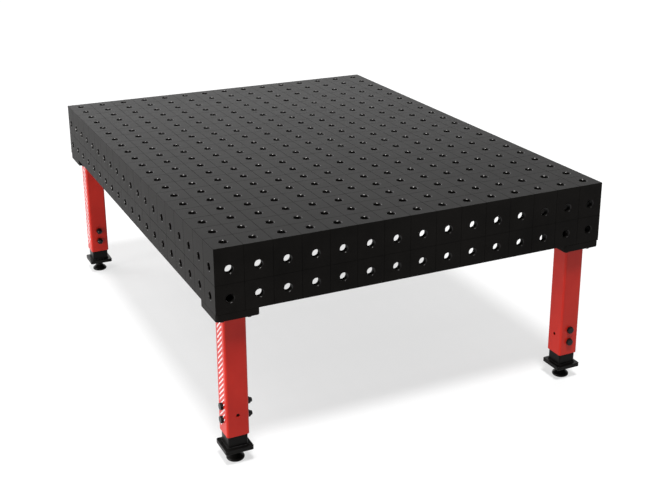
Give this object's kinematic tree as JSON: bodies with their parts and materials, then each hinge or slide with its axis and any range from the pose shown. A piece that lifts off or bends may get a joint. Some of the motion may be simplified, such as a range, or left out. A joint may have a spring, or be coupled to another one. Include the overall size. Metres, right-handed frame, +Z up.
{
  "type": "welding table",
  "caption": "Perforated steel welding table: flat box top with a grid of clamping bores on top and sides, on four telescopic red legs with levelling feet.",
  "frame": {"origin": "on the floor, under the middle of the table", "axes": "+X across the 1500 mm width to the right, +Y along the 2000 mm length to the back, +Z up"},
  "size_m": [1.5, 2, 0.8],
  "materials": {
    "table_steel": "dark nitrided steel, satin, with fine scribed lines",
    "red_paint": "red powder coat, semi-gloss with fine texture",
    "black_paint": "black powder coat, satin",
    "black_fastener": "black oxide, satin"
  },
  "bodies": {
    "table": {"top_plate": "table_steel", "front_side_plate": "table_steel", "back_side_plate": "table_steel", "left_side_plate": "table_steel", "right_side_plate": "table_steel", "cross_rib_1": "table_steel", "cross_rib_2": "table_steel", "cross_rib_3": "table_steel", "cross_rib_4": "table_steel", "long_rib_left": "table_steel", "long_rib_right": "table_steel", "corner_plate_front_left": "table_steel", "leg_flange_front_left": "table_steel", "flange_screws_front_left": "black_fastener", "outer_tube_front_left": "red_paint", "clamp_bolts_front_left": "black_fastener", "clamp_nuts_front_left": "black_fastener", "corner_plate_front_right": "table_steel", "leg_flange_front_right": "table_steel", "flange_screws_front_right": "black_fastener", "outer_tube_front_right": "red_paint", "clamp_bolts_front_right": "black_fastener", "clamp_nuts_front_right": "black_fastener", "corner_plate_back_right": "table_steel", "leg_flange_back_right": "table_steel", "flange_screws_back_right": "black_fastener", "outer_tube_back_right": "red_paint", "clamp_bolts_back_right": "black_fastener", "clamp_nuts_back_right": "black_fastener", "corner_plate_back_left": "table_steel", "leg_flange_back_left": "table_steel", "flange_screws_back_left": "black_fastener", "outer_tube_back_left": "red_paint", "clamp_bolts_back_left": "black_fastener", "clamp_nuts_back_left": "black_fastener"},
    "inner_leg_front_left": {"inner_tube_front_left": "black_paint", "base_plate_front_left": "black_paint", "lock_nut_front_left": "black_fastener"},
    "foot_front_left": {"foot_pad_front_left": "black_paint"},
    "stud_front_left": {"foot_stud_front_left": "black_fastener"},
    "inner_leg_front_right": {"inner_tube_front_right": "black_paint", "base_plate_front_right": "black_paint", "lock_nut_front_right": "black_fastener"},
    "foot_front_right": {"foot_pad_front_right": "black_paint"},
    "stud_front_right": {"foot_stud_front_right": "black_fastener"},
    "inner_leg_back_right": {"inner_tube_back_right": "black_paint", "base_plate_back_right": "black_paint", "lock_nut_back_right": "black_fastener"},
    "foot_back_right": {"foot_pad_back_right": "black_paint"},
    "stud_back_right": {"foot_stud_back_right": "black_fastener"},
    "inner_leg_back_left": {"inner_tube_back_left": "black_paint", "base_plate_back_left": "black_paint", "lock_nut_back_left": "black_fastener"},
    "foot_back_left": {"foot_pad_back_left": "black_paint"},
    "stud_back_left": {"foot_stud_back_left": "black_fastener"}
  },
  "joints": [
    {"name": "leg_extend_front_left", "type": "slide", "parent": "table", "child": "inner_leg_front_left", "axis": [0, 0, -1], "range_m": [0, 0.15]},
    {"name": "foot_level_front_left", "type": "slide", "parent": "inner_leg_front_left", "child": "foot_front_left", "axis": [0, 0, -1], "range_m": [-0.012, 0.03]},
    {"name": "stud_turn_front_left", "type": "hinge", "parent": "foot_front_left", "child": "stud_front_left", "pos_m": [-0.675, -0.925, 0.06], "axis": [0, 0, -1], "range_deg": [-1740, 4340]},
    {"name": "leg_extend_front_right", "type": "slide", "parent": "table", "child": "inner_leg_front_right", "axis": [0, 0, -1], "range_m": [0, 0.15]},
    {"name": "foot_level_front_right", "type": "slide", "parent": "inner_leg_front_right", "child": "foot_front_right", "axis": [0, 0, -1], "range_m": [-0.012, 0.03]},
    {"name": "stud_turn_front_right", "type": "hinge", "parent": "foot_front_right", "child": "stud_front_right", "pos_m": [0.675, -0.925, 0.06], "axis": [0, 0, -1], "range_deg": [-1740, 4340]},
    {"name": "leg_extend_back_right", "type": "slide", "parent": "table", "child": "inner_leg_back_right", "axis": [0, 0, -1], "range_m": [0, 0.15]},
    {"name": "foot_level_back_right", "type": "slide", "parent": "inner_leg_back_right", "child": "foot_back_right", "axis": [0, 0, -1], "range_m": [-0.012, 0.03]},
    {"name": "stud_turn_back_right", "type": "hinge", "parent": "foot_back_right", "child": "stud_back_right", "pos_m": [0.675, 0.925, 0.06], "axis": [0, 0, -1], "range_deg": [-1740, 4340]},
    {"name": "leg_extend_back_left", "type": "slide", "parent": "table", "child": "inner_leg_back_left", "axis": [0, 0, -1], "range_m": [0, 0.15]},
    {"name": "foot_level_back_left", "type": "slide", "parent": "inner_leg_back_left", "child": "foot_back_left", "axis": [0, 0, -1], "range_m": [-0.012, 0.03]},
    {"name": "stud_turn_back_left", "type": "hinge", "parent": "foot_back_left", "child": "stud_back_left", "pos_m": [-0.675, 0.925, 0.06], "axis": [0, 0, -1], "range_deg": [-1740, 4340]}
  ],
  "couplings": [
    {"joint": "stud_turn_front_left", "follows": "foot_level_front_left", "rad_per_m": 2513.3},
    {"joint": "stud_turn_front_right", "follows": "foot_level_front_right", "rad_per_m": 2513.3},
    {"joint": "stud_turn_back_right", "follows": "foot_level_back_right", "rad_per_m": 2513.3},
    {"joint": "stud_turn_back_left", "follows": "foot_level_back_left", "rad_per_m": 2513.3}
  ]
}
